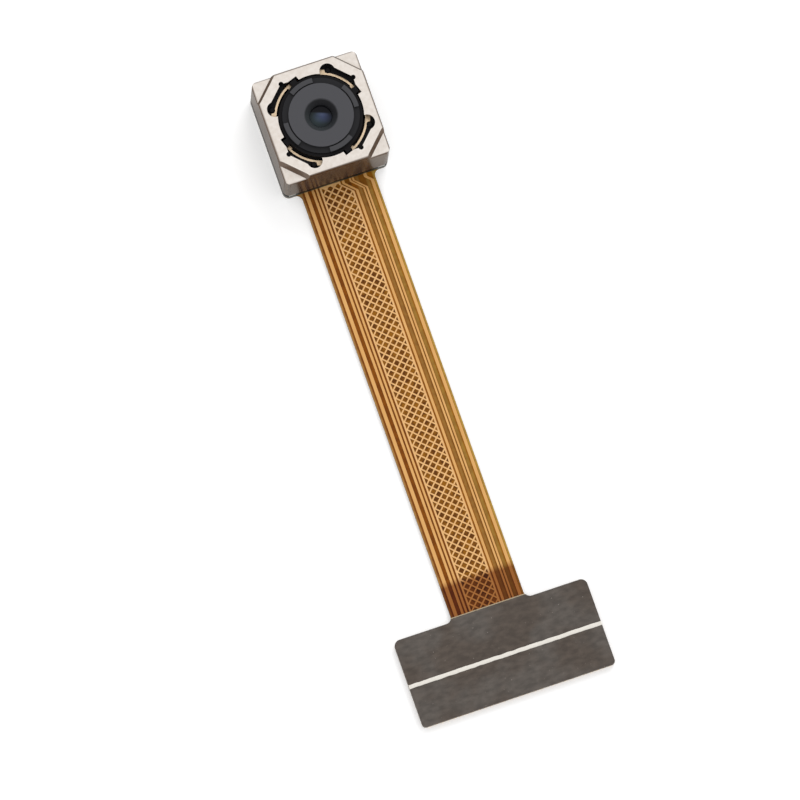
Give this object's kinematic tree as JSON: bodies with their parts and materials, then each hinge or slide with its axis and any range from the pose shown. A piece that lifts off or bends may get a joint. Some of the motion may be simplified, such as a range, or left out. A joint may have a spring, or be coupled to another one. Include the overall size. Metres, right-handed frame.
{
  "type": "autofocus camera module",
  "caption": "Square autofocus lens head on a rigid board, joined by a long flat flexible printed strip to a wide stiffened plug end.",
  "frame": {"origin": "on the lens axis, on the underside of the head", "axes": "+Z out of the lens along its axis, -Y along the flexible strip to the plug end, +X across"},
  "size_m": [0.0154, 0.0508, 0.0055],
  "materials": {
    "can_metal": "satin nickel-plated steel",
    "stiffener_metal": "satin",
    "film": "satin amber film",
    "track_copper": "satin, under amber film",
    "contact_gold": "bright gold plating",
    "adhesive": "matt",
    "plate": "satin",
    "ink": "matt",
    "board": "satin",
    "silicon": "glossy",
    "ceramic": "matt",
    "chip": "matt",
    "black_moulding": "matt",
    "filter_glass": "coated",
    "spring_bronze": "bright",
    "solder": "bright",
    "magnet": "nickel plated",
    "barrel_moulding": "fine matt",
    "coil_copper": "enamelled wire",
    "lens_glass": "coated",
    "baffle": "matt"
  },
  "bodies": {
    "housing": {"head_stiffener": "stiffener_metal", "flex_circuit": "film", "signal_tracks": "track_copper", "ground_mesh": "track_copper", "contact_fingers": "contact_gold", "plate_adhesive": "adhesive", "plug_plate": "plate", "insertion_line": "ink", "sensor_board": "board", "image_sensor": "silicon", "bond_wires": "contact_gold", "chip_capacitors": "ceramic", "autofocus_driver": "chip", "sensor_holder": "black_moulding", "infrared_filter": "filter_glass", "actuator_base": "black_moulding", "coil_terminals": "contact_gold", "solder_joints": "solder", "lower_spring": "spring_bronze", "magnets": "magnet", "spring_frame": "black_moulding", "upper_spring": "spring_bronze", "shield_can": "can_metal"},
    "lens_unit": {"lens_carrier": "black_moulding", "voice_coil": "coil_copper", "lens_barrel": "barrel_moulding", "front_lens": "lens_glass", "second_lens": "lens_glass", "third_lens": "lens_glass", "field_lens": "lens_glass", "baffle_rings": "baffle", "lens_retainer": "baffle"}
  },
  "joints": [
    {"name": "focus_travel", "type": "slide", "parent": "housing", "child": "lens_unit", "axis": [0, 0, 1], "range_m": [0, 0.00025], "stiffness_N_per_m": 40, "springref_m": -0.0001, "deforming": ["lower_spring", "upper_spring"]}
  ]
}
